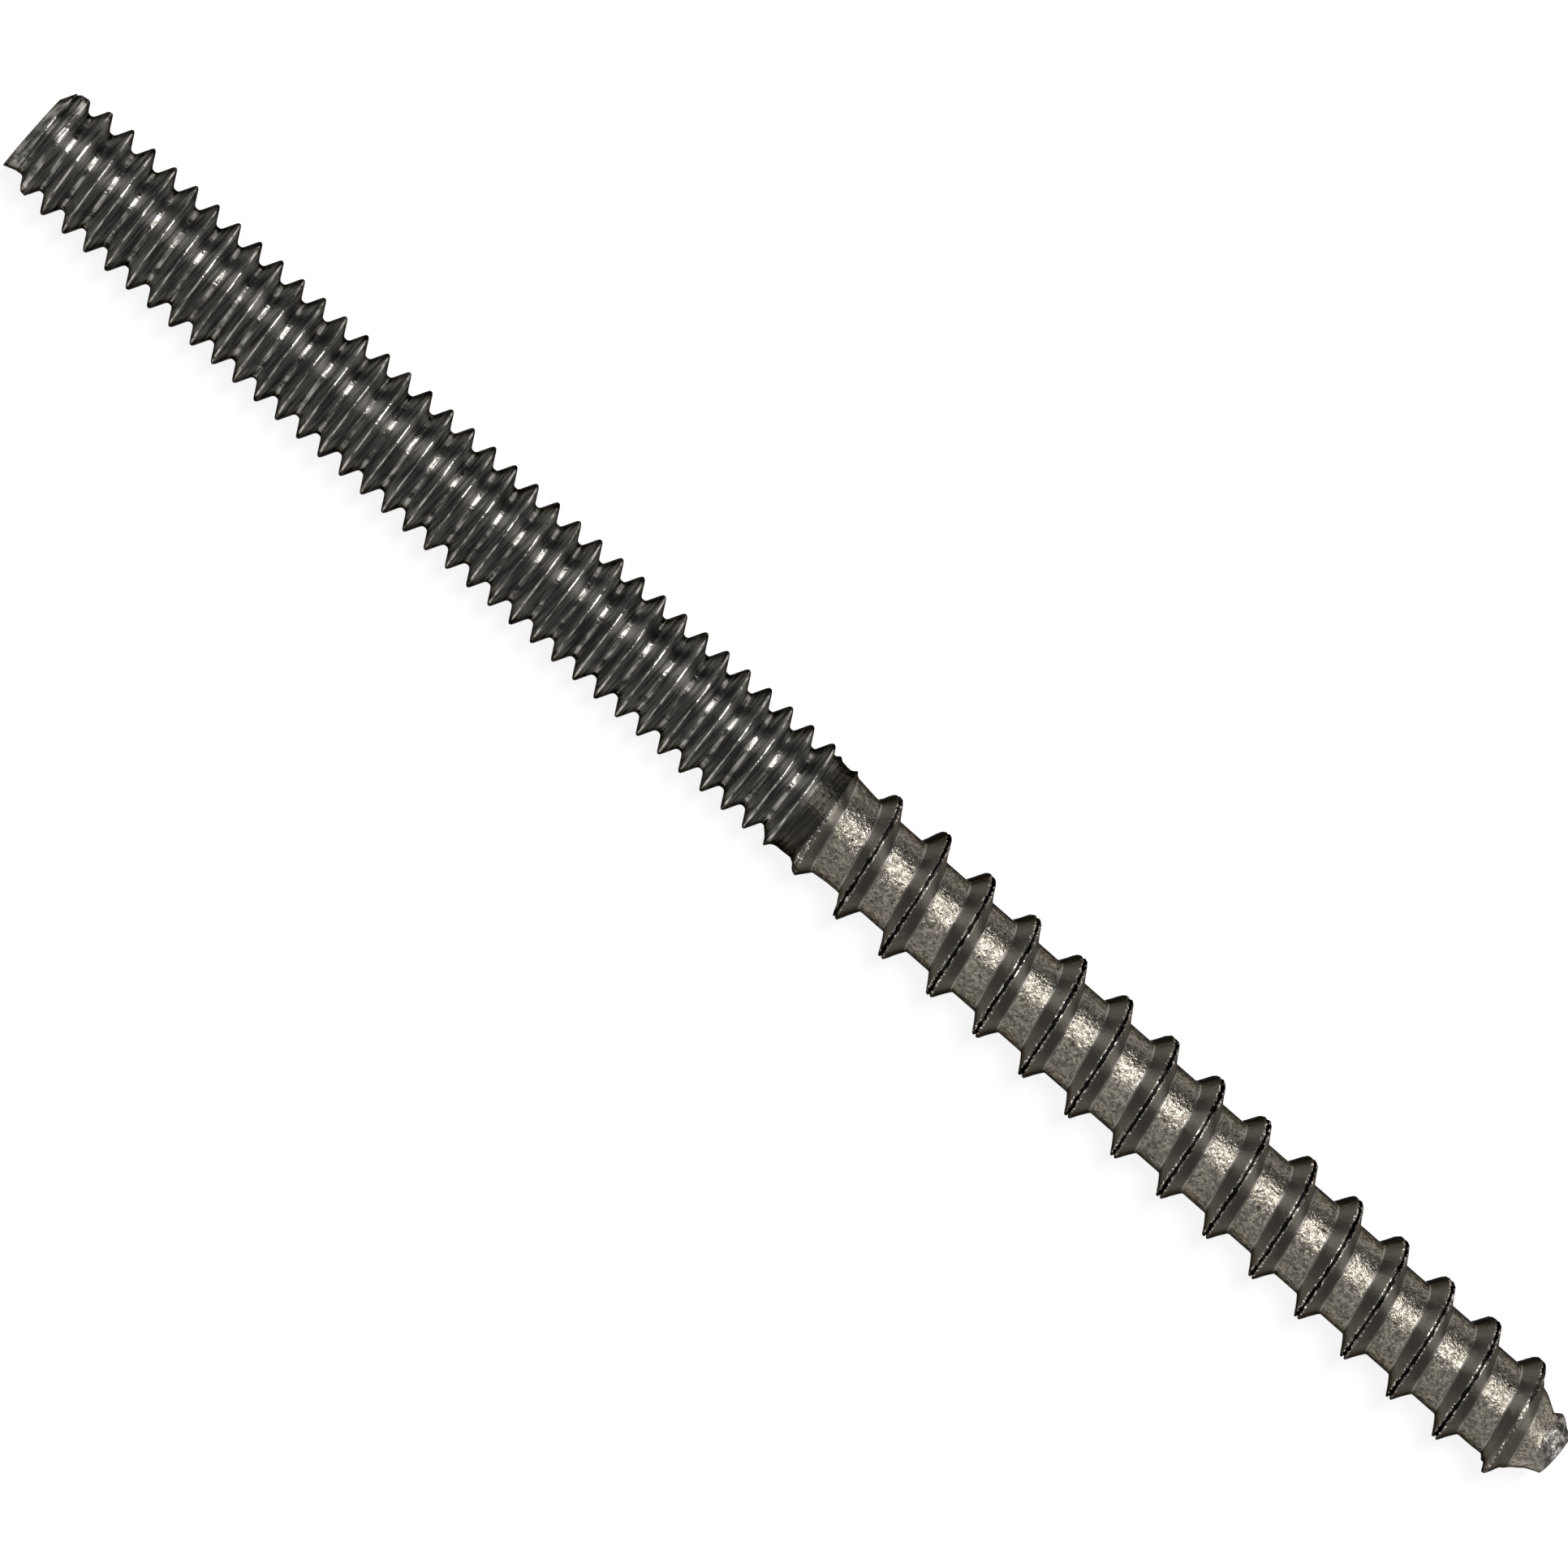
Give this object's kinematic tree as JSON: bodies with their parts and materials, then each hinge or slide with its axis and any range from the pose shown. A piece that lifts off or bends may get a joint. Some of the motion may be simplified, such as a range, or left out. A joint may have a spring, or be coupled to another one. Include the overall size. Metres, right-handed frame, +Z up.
{
  "type": "hanger bolt",
  "caption": "Headless steel hanger bolt: a fine machine thread on one half, a coarse lag thread with a blunt tip on the other, and a short plain neck between.",
  "frame": {"origin": "on the surface the bolt lies on, below the middle of its length", "axes": "+X along the bolt from the machine end to the lag tip, +Z up from the surface, +Y across"},
  "size_m": [0.076, 0.0052, 0.0053],
  "materials": {
    "dark_steel": "dark as-rolled steel with bright rubbed crests"
  },
  "bodies": {
    "root": {"hanger_bolt": "dark_steel"}
  },
  "joints": []
}
